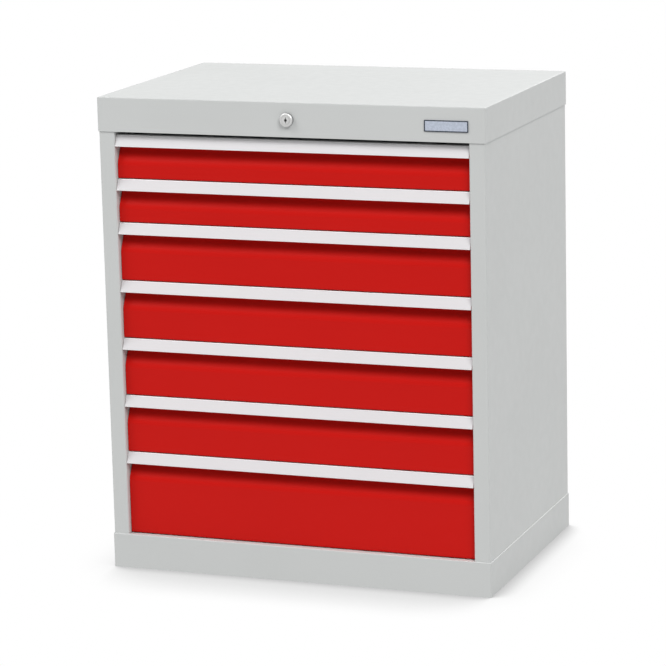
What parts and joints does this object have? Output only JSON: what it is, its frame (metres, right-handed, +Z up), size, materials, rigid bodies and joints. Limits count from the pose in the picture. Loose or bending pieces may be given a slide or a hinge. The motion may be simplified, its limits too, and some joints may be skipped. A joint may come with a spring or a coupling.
{
  "type": "drawer cabinet",
  "caption": "Free-standing steel cabinet with full-width red drawers under slanted pale grip rails, a central cylinder lock in the apron and a plain plinth.",
  "frame": {"origin": "centre of the case's footprint, on the floor", "axes": "+Z up, X across the width, drawers open towards -Y"},
  "size_m": [0.684, 0.4724, 0.819],
  "materials": {
    "case_paint": "light grey powder coat, satin",
    "front_paint": "red powder coat, satin",
    "drawer_paint": "light grey powder coat, satin",
    "grip_rail": "silver-white anodised",
    "label": "blank white card under a clear cover",
    "runner_steel": "zinc plated",
    "galvanised_steel": "galvanised",
    "zinc_screw": "bright zinc",
    "lock_nickel": "satin nickel",
    "badge": "pale blue-grey field with a dark rim, bare"
  },
  "bodies": {
    "case": {"top_cover": "case_paint", "right_side_panel": "case_paint", "left_side_panel": "case_paint", "back_panel": "case_paint", "base_plinth": "case_paint", "slide_uprights": "galvanised_steel", "cross_rails": "galvanised_steel", "right_case_rails": "runner_steel", "left_case_rails": "runner_steel", "case_screws": "zinc_screw", "name_plate": "badge", "lock_housing": "lock_nickel", "lock_nut": "lock_nickel", "spindle_bearings": "galvanised_steel", "bar_guides": "galvanised_steel"},
    "lock": {"lock_plug": "lock_nickel", "lock_spindle": "galvanised_steel"},
    "locking_bar": {"locking_bar": "galvanised_steel"},
    "drawer_1": {"drawer_1_box": "drawer_paint", "drawer_1_front": "front_paint", "drawer_1_grip_rail": "grip_rail", "drawer_1_label_strip": "label", "drawer_1_rails": "runner_steel"},
    "middle_rails_1": {"middle_rails_1": "runner_steel"},
    "drawer_2": {"drawer_2_box": "drawer_paint", "drawer_2_front": "front_paint", "drawer_2_grip_rail": "grip_rail", "drawer_2_label_strip": "label", "drawer_2_rails": "runner_steel"},
    "middle_rails_2": {"middle_rails_2": "runner_steel"},
    "drawer_3": {"drawer_3_box": "drawer_paint", "drawer_3_front": "front_paint", "drawer_3_grip_rail": "grip_rail", "drawer_3_label_strip": "label", "drawer_3_rails": "runner_steel"},
    "middle_rails_3": {"middle_rails_3": "runner_steel"},
    "drawer_4": {"drawer_4_box": "drawer_paint", "drawer_4_front": "front_paint", "drawer_4_grip_rail": "grip_rail", "drawer_4_label_strip": "label", "drawer_4_rails": "runner_steel"},
    "middle_rails_4": {"middle_rails_4": "runner_steel"},
    "drawer_5": {"drawer_5_box": "drawer_paint", "drawer_5_front": "front_paint", "drawer_5_grip_rail": "grip_rail", "drawer_5_label_strip": "label", "drawer_5_rails": "runner_steel"},
    "middle_rails_5": {"middle_rails_5": "runner_steel"},
    "drawer_6": {"drawer_6_box": "drawer_paint", "drawer_6_front": "front_paint", "drawer_6_grip_rail": "grip_rail", "drawer_6_label_strip": "label", "drawer_6_rails": "runner_steel"},
    "middle_rails_6": {"middle_rails_6": "runner_steel"},
    "drawer_7": {"drawer_7_box": "drawer_paint", "drawer_7_front": "front_paint", "drawer_7_grip_rail": "grip_rail", "drawer_7_label_strip": "label", "drawer_7_rails": "runner_steel"},
    "middle_rails_7": {"middle_rails_7": "runner_steel"}
  },
  "joints": [
    {"name": "lock_turn", "type": "hinge", "parent": "case", "child": "lock", "pos_m": [0, -0.233, 0.79], "axis": [0, 1, 0], "range_deg": [0, 90]},
    {"name": "locking_bar_lift", "type": "slide", "parent": "case", "child": "locking_bar", "axis": [0, 0, 1], "range_m": [0, 0.01]},
    {"name": "drawer_1_slide", "type": "slide", "parent": "case", "child": "drawer_1", "axis": [0, -1, 0], "range_m": [0, 0.4]},
    {"name": "middle_rails_1_slide", "type": "slide", "parent": "case", "child": "middle_rails_1", "axis": [0, -1, 0], "range_m": [0, 0.2]},
    {"name": "drawer_2_slide", "type": "slide", "parent": "case", "child": "drawer_2", "axis": [0, -1, 0], "range_m": [0, 0.4]},
    {"name": "middle_rails_2_slide", "type": "slide", "parent": "case", "child": "middle_rails_2", "axis": [0, -1, 0], "range_m": [0, 0.2]},
    {"name": "drawer_3_slide", "type": "slide", "parent": "case", "child": "drawer_3", "axis": [0, -1, 0], "range_m": [0, 0.4]},
    {"name": "middle_rails_3_slide", "type": "slide", "parent": "case", "child": "middle_rails_3", "axis": [0, -1, 0], "range_m": [0, 0.2]},
    {"name": "drawer_4_slide", "type": "slide", "parent": "case", "child": "drawer_4", "axis": [0, -1, 0], "range_m": [0, 0.4]},
    {"name": "middle_rails_4_slide", "type": "slide", "parent": "case", "child": "middle_rails_4", "axis": [0, -1, 0], "range_m": [0, 0.2]},
    {"name": "drawer_5_slide", "type": "slide", "parent": "case", "child": "drawer_5", "axis": [0, -1, 0], "range_m": [0, 0.4]},
    {"name": "middle_rails_5_slide", "type": "slide", "parent": "case", "child": "middle_rails_5", "axis": [0, -1, 0], "range_m": [0, 0.2]},
    {"name": "drawer_6_slide", "type": "slide", "parent": "case", "child": "drawer_6", "axis": [0, -1, 0], "range_m": [0, 0.4]},
    {"name": "middle_rails_6_slide", "type": "slide", "parent": "case", "child": "middle_rails_6", "axis": [0, -1, 0], "range_m": [0, 0.2]},
    {"name": "drawer_7_slide", "type": "slide", "parent": "case", "child": "drawer_7", "axis": [0, -1, 0], "range_m": [0, 0.4]},
    {"name": "middle_rails_7_slide", "type": "slide", "parent": "case", "child": "middle_rails_7", "axis": [0, -1, 0], "range_m": [0, 0.2]}
  ],
  "couplings": [
    {"joint": "locking_bar_lift", "follows": "lock_turn", "m_per_rad": 0.0063662},
    {"joint": "middle_rails_1_slide", "follows": "drawer_1_slide", "ratio": 0.5},
    {"joint": "middle_rails_2_slide", "follows": "drawer_2_slide", "ratio": 0.5},
    {"joint": "middle_rails_3_slide", "follows": "drawer_3_slide", "ratio": 0.5},
    {"joint": "middle_rails_4_slide", "follows": "drawer_4_slide", "ratio": 0.5},
    {"joint": "middle_rails_5_slide", "follows": "drawer_5_slide", "ratio": 0.5},
    {"joint": "middle_rails_6_slide", "follows": "drawer_6_slide", "ratio": 0.5},
    {"joint": "middle_rails_7_slide", "follows": "drawer_7_slide", "ratio": 0.5}
  ]
}
